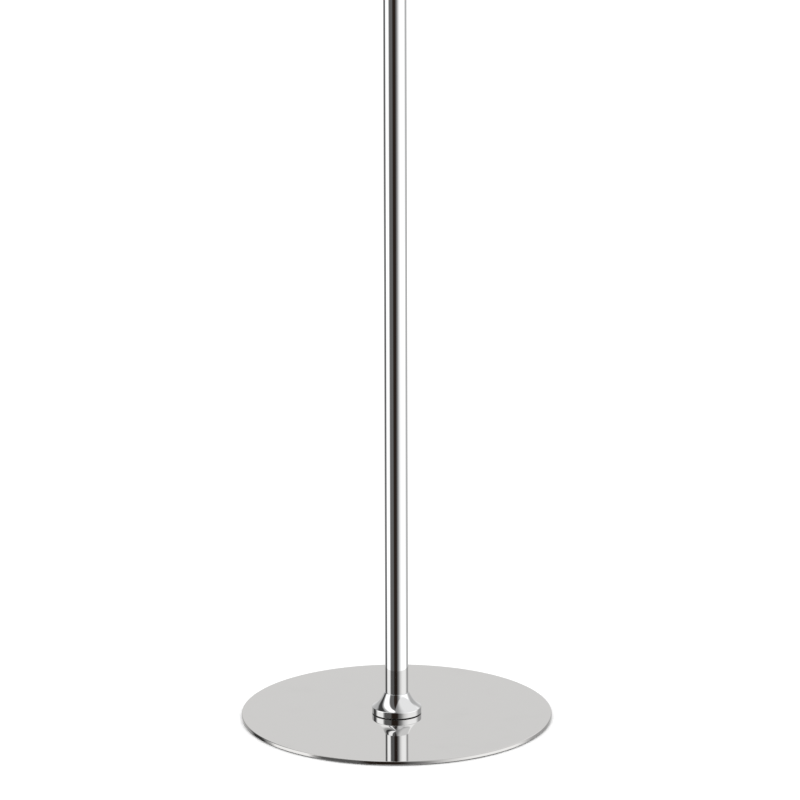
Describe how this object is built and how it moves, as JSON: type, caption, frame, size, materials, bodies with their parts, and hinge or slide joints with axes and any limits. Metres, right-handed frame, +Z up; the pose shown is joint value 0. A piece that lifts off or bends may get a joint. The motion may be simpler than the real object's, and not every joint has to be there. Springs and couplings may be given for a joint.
{
  "type": "flag pole stand",
  "caption": "Floor stand for a flag: a thin polished disc base, a bell collar and a telescoping chrome pole with a twist lock, turning flag rings with snap hooks, and a ball finial.",
  "frame": {"origin": "centre of the base on the floor", "axes": "+Z up along the pole, +X the way both ring eyes face"},
  "size_m": [0.34, 0.34, 1.3871],
  "materials": {
    "polished_cover": "mirror polished stainless sheet",
    "ballast_steel": "black painted steel plate",
    "foam": "black foam",
    "zinc_steel": "zinc plated",
    "gasket_rubber": "black rubber",
    "collar_chrome": "bright chrome",
    "tube_chrome": "bright chrome",
    "insert_aluminium": "turned",
    "lock_plastic": "black moulded plastic",
    "nylon": "natural nylon",
    "ring_chrome": "bright chrome",
    "hook_steel": "polished steel wire",
    "gate_steel": "turned steel",
    "spring_steel": "spring wire",
    "finial_chrome": "bright chrome"
  },
  "bodies": {
    "base": {"base_cover": "polished_cover", "ballast_plate": "ballast_steel", "floor_pad": "foam", "centre_stud": "zinc_steel", "stud_washer": "zinc_steel", "stud_lock_washer": "zinc_steel", "stud_nut": "zinc_steel"},
    "lower_pole": {"collar_gasket": "gasket_rubber", "pole_collar": "collar_chrome", "lower_tube": "tube_chrome", "lower_tube_insert": "insert_aluminium", "lock_sleeve": "lock_plastic", "collet": "nylon"},
    "twist_lock": {"lock_nut": "lock_plastic", "lower_slide_washer": "nylon"},
    "upper_pole": {"upper_tube": "tube_chrome", "foot_guide": "nylon", "stop_guide": "nylon", "upper_tube_insert": "insert_aluminium", "stop_collar": "ring_chrome", "stop_collar_screws": "zinc_steel", "upper_slide_washer": "nylon"},
    "finial": {"finial_neck": "finial_chrome", "finial_ball": "finial_chrome", "finial_stud": "zinc_steel"},
    "lower_flag_ring": {"lower_ring": "ring_chrome", "lower_ring_bush": "nylon"},
    "lower_hook": {"lower_hook_body": "hook_steel", "lower_hook_pin": "zinc_steel"},
    "lower_gate": {"lower_hook_gate": "gate_steel", "lower_hook_spring": "spring_steel"},
    "upper_flag_ring": {"upper_ring": "ring_chrome", "upper_ring_bush": "nylon"},
    "upper_hook": {"upper_hook_body": "hook_steel", "upper_hook_pin": "zinc_steel"},
    "upper_gate": {"upper_hook_gate": "gate_steel", "upper_hook_spring": "spring_steel"}
  },
  "joints": [
    {"name": "pole_unscrew", "type": "slide", "parent": "base", "child": "lower_pole", "axis": [0, 0, 1], "range_m": [0, 0.034]},
    {"name": "lock_turn", "type": "hinge", "parent": "lower_pole", "child": "twist_lock", "pos_m": [0, 0, 1.2011], "axis": [0, 0, 1], "range_deg": [0, 200]},
    {"name": "pole_extend", "type": "slide", "parent": "lower_pole", "child": "upper_pole", "axis": [0, 0, 1], "range_m": [0, 1.045]},
    {"name": "finial_unscrew", "type": "slide", "parent": "upper_pole", "child": "finial", "axis": [0, 0, 1], "range_m": [0, 0.022]},
    {"name": "lower_ring_spin", "type": "hinge", "parent": "lower_pole", "child": "lower_flag_ring", "pos_m": [0, 0, 1.2438], "axis": [0, 0, 1], "continuous": true},
    {"name": "lower_hook_swing", "type": "hinge", "parent": "lower_flag_ring", "child": "lower_hook", "pos_m": [0.0229, 0, 1.2438], "axis": [0, -1, 0], "range_deg": [-4, 110]},
    {"name": "lower_gate_open", "type": "hinge", "parent": "lower_hook", "child": "lower_gate", "pos_m": [0.0229, 0.00844, 1.23044], "axis": [-1, 0, 0], "range_deg": [0, 22], "stiffness_Nm_per_rad": 0.02, "springref_deg": -34.38},
    {"name": "upper_ring_spin", "type": "hinge", "parent": "upper_pole", "child": "upper_flag_ring", "pos_m": [0, 0, 1.3153], "axis": [0, 0, 1], "continuous": true},
    {"name": "upper_hook_swing", "type": "hinge", "parent": "upper_flag_ring", "child": "upper_hook", "pos_m": [0.0229, 0, 1.3153], "axis": [0, -1, 0], "range_deg": [-4, 110]},
    {"name": "upper_gate_open", "type": "hinge", "parent": "upper_hook", "child": "upper_gate", "pos_m": [0.0229, 0.00844, 1.30194], "axis": [-1, 0, 0], "range_deg": [0, 22], "stiffness_Nm_per_rad": 0.02, "springref_deg": -34.38}
  ]
}
